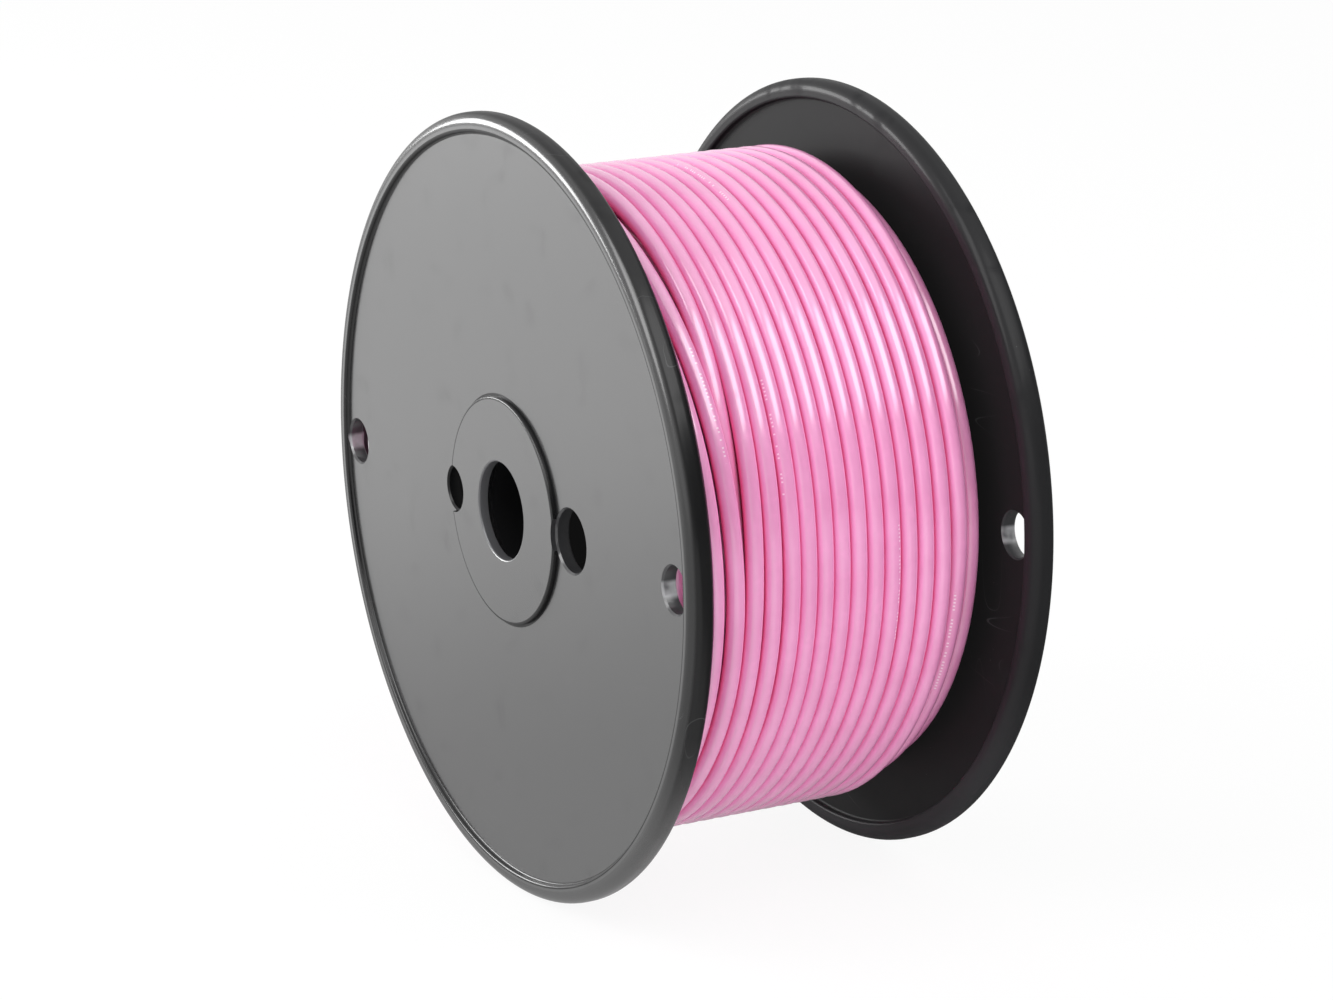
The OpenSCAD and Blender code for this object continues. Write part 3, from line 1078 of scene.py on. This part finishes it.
    @staticmethod
    def _combined(
        body: bpy.types.Object, tools: Sequence[tuple[bpy.types.Object, str]]
    ) -> bpy.types.Mesh:
        """Applies Boolean tools to a body and clears them away.

        Args:
            body: the object that is worked on.
            tools: pairs of a tool object and its Boolean operation.

        Returns:
            The resulting mesh.
        """
        for tool, operation in tools:
            cut = body.modifiers.new(tool.name, "BOOLEAN")
            cut.operation = operation
            cut.solver = "EXACT"
            cut.object = tool
        shown = body.evaluated_get(bpy.context.evaluated_depsgraph_get())
        mesh = bpy.data.meshes.new_from_object(shown)
        for spent in [body, *(tool for tool, _ in tools)]:
            bpy.data.objects.remove(spent)
        return mesh

    def _finish_faces(self, mesh: bpy.types.Mesh, turn_over: bool) -> None:
        """Smooths the rounded faces and turns the moulding over if asked.

        Args:
            mesh: the cut moulding.
            turn_over: whether it faces the reel's other side.
        """
        shape = bmesh.new()
        shape.from_mesh(mesh)
        bmesh.ops.recalc_face_normals(shape, faces=shape.faces)
        for face in shape.faces:
            face.smooth = abs(face.normal.y) < self.level_normal
        for edge in shape.edges:
            edge.smooth = edge.is_manifold and edge.calc_face_angle(0) < self.sharp_angle
        if turn_over:
            over = Matrix.Rotation(math.pi, 3, "X")
            bmesh.ops.rotate(shape, verts=shape.verts, cent=(0, 0, 0), matrix=over)
        shape.to_mesh(mesh)
        shape.free()

    def build(self, node: str, turn_over: bool) -> bpy.types.Object:
        """Builds one flange.

        Args:
            node: the CAD node that it stands for.
            turn_over: whether it is the rear one.

        Returns:
            The finished piece.
        """
        turned = self._turned(self._section(), 0.0, self.steps_round)
        body = linked("flange_body", mesh_of("flange_body", turned))
        tools = ((self._rib_block(), "UNION"), (self._hole_cutter(), "DIFFERENCE"))
        mesh = self._combined(body, tools)
        self._finish_faces(mesh, turn_over)
        mesh.name = f"{node}_moulding"
        return reel_piece(mesh.name, mesh, self.finish, Slot.PLASTIC, node)


@dataclass
class MouldedReel:
    """The rigid pieces that keep their CAD shape."""

    nodes: dict[str, bpy.types.Object]

    def dress(self, material: bpy.types.Material, names: Iterable[str]) -> None:
        """Puts a material on the named nodes.

        Args:
            material: the finish.
            names: CAD nodes.
        """
        for name in names:
            for place in self.nodes[name].material_slots:
                place.material = material
            LOG.info("dressed %s with %s", name, material.name)


@dataclass(frozen=True)
class Softbox:
    """A rectangular soft lamp that faces the reel."""

    name: str
    direction: Triple
    distance: float
    width: float
    height: float
    radiance: float

    def build(self) -> None:
        """Hangs the lamp in the scene."""
        light = bpy.data.lights.new(self.name, "AREA")
        light.shape = "RECTANGLE"
        light.size = self.width
        light.size_y = self.height
        light.energy = self.radiance * math.pi * self.width * self.height
        lamp = linked(self.name, light)
        outward = Vector(self.direction).normalized()
        lamp.location = outward * self.distance
        lamp.rotation_euler = outward.to_track_quat("Z", "Y").to_euler()


@dataclass
class Studio:
    """Floor, soft lamps, white surroundings and the camera."""

    floor_z: float = -63.5 * MM
    floor_size: float = 12.0
    floor_white: float = 0.95
    floor_glow: float = 0.9

    # Soft light from level with the reel and from straight above it
    ambient_low: float = 1.55
    ambient_high: float = 0.25

    # What the gloss shows: a dark zone behind the reel and a dimmer floor beside it
    dark_gloss: float = 0.03
    near_dim: float = 0.4
    floor_behind: Range = (-0.02, 0.06)
    floor_right: Range = (-0.12, 0.02)
    floor_near: Range = (-0.3, -0.05)
    sky_front: Range = (-0.8, -0.2)
    sky_left: Range = (-0.7, -0.3)
    sky_high: Range = (0.3, 0.7)

    camera_target: Triple = (-0.2 * MM, -1.9 * MM, -2.4 * MM)
    camera_distance: float = 688.9 * MM
    camera_azimuth: float = 61.63
    camera_elevation: float = 16.29
    camera_roll_about_y: float = 2.3
    lens: float = 114.4
    sensor_width: float = 36.0
    lamps: tuple[Softbox, ...] = (
        Softbox("top_lamp", (0.06, -0.78, 0.62), distance=1.2, width=0.5, height=0.9, radiance=3.7),
        Softbox("side_lamp", (0.66, 0.11, 0.74), distance=1.2, width=1.2, height=0.75, radiance=2.0),
        Softbox("front_lamp", (-0.8, -0.52, 0.16), distance=1.3, width=0.7, height=0.4, radiance=13),
    )

    @staticmethod
    def _rays(bench: Bench) -> tuple[Term, Term]:
        """1 for rays from the camera, and 1 for rays from a gloss or a glass."""
        camera = bench.node("ShaderNodeLightPath", output="Is Camera Ray")
        return camera, bench.larger(camera.other("Is Glossy Ray"), camera.other("Is Transmission Ray"))

    def floor(self) -> None:
        """Lays a white floor that keeps a faint shadow and darkens behind the reel in its gloss."""
        shape = bmesh.new()
        level = Matrix.Translation((0, 0, self.floor_z))
        bmesh.ops.create_grid(shape, x_segments=1, y_segments=1, size=self.floor_size / 2, matrix=level)
        mesh = mesh_of("studio_floor", shape)
        floor = linked("studio_floor", mesh)
        material = bpy.data.materials.new("studio_floor_white")
        bench = Bench(material)
        camera, mirrored = self._rays(bench)
        across, depth, _ = bench.parts(bench.place())
        behind = depth.between(*self.floor_behind) * across.between(*self.floor_right)
        near = across.between(*self.floor_near) * self.near_dim
        glow = bench.larger(camera, 1 - near - behind * (1 - self.dark_gloss - self.near_dim))
        white = self.floor_white
        lit = bench.node("ShaderNodeBsdfDiffuse", inputs={"Color": (white, white, white, 1)})
        shining = bench.node("ShaderNodeEmission", inputs={"Color": (1, 1, 1, 1), "Strength": glow})
        seen = bench.larger(camera, mirrored) * self.floor_glow
        both = bench.node("ShaderNodeMixShader", inputs={0: seen, 1: lit, 2: shining})
        bench.node("ShaderNodeOutputMaterial", inputs={"Surface": both})
        mesh.materials.append(material)

    def surroundings(self) -> None:
        """Makes the world white to look at, soft as a light and dark in the gloss behind the reel."""
        world = bpy.data.worlds.new("studio_world")
        bpy.context.scene.world = world
        bench = Bench(world)
        camera, mirrored = self._rays(bench)
        across, depth, up = bench.parts(bench.node("ShaderNodeTexCoord", output="Generated"))
        front = 1 - depth.between(*self.sky_front)
        left = 1 - across.between(*self.sky_left)
        seen = bench.larger(front, bench.larger(left, up.between(*self.sky_high)))
        gloss = self.dark_gloss + seen * (1 - self.dark_gloss)
        soft = self.ambient_low - bench.larger(up, 0.0) * (self.ambient_low - self.ambient_high)
        level = bench.larger(camera, mirrored * gloss + (1 - mirrored) * soft)
        sky = bench.node("ShaderNodeBackground", inputs={"Color": (1, 1, 1, 1), "Strength": level})
        bench.node("ShaderNodeOutputWorld", inputs={"Surface": sky})

    def camera(self) -> None:
        """Places the camera and makes it the scene's own."""
        lens = bpy.data.cameras.new("studio_camera")
        lens.lens = self.lens
        lens.sensor_width = self.sensor_width
        lens.sensor_fit = "HORIZONTAL"
        lens.clip_end = 100
        camera = linked("studio_camera", lens)
        turned = math.radians(self.camera_azimuth)
        raised = math.radians(self.camera_elevation)
        level = math.cos(raised)
        back = Vector((math.sin(turned) * level, -math.cos(turned) * level, math.sin(raised)))
        place = Vector(self.camera_target) + back * self.camera_distance
        upright = back.to_track_quat("Z", "Y").to_matrix().to_4x4()
        rolled = Matrix.Rotation(math.radians(self.camera_roll_about_y), 4, "Y")
        camera.matrix_world = rolled @ Matrix.Translation(place) @ upright
        bpy.context.scene.camera = camera

    def build(self) -> None:
        """Sets up the whole studio."""
        self.camera()
        self.floor()
        self.surroundings()
        for lamp in self.lamps:
            lamp.build()
        bpy.context.scene.view_settings.view_transform = "Standard"


def main() -> None:
    """Builds and dresses the reel, piece by piece."""
    logging.basicConfig(level=logging.INFO)
    Studio().build()
    plastic = BlackPlastic().make()
    insulation = PinkInsulation().make()
    copper = CopperStrand().make()
    reel = MouldedReel(frame["nodes"])
    reel.dress(plastic, ("barrel", "arbor_tube"))
    reel.dress(copper, ("conductor_ends",))
    moulding = FlangeMoulding(plastic)
    flanges = [moulding.build("front_flange", False), moulding.build("rear_flange", True)]
    for piece in flanges + WoundWire(insulation).build():
        LOG.info("built %s with %d faces", piece.name, len(piece.data.polygons))


if __name__ == "__main__":
    main()
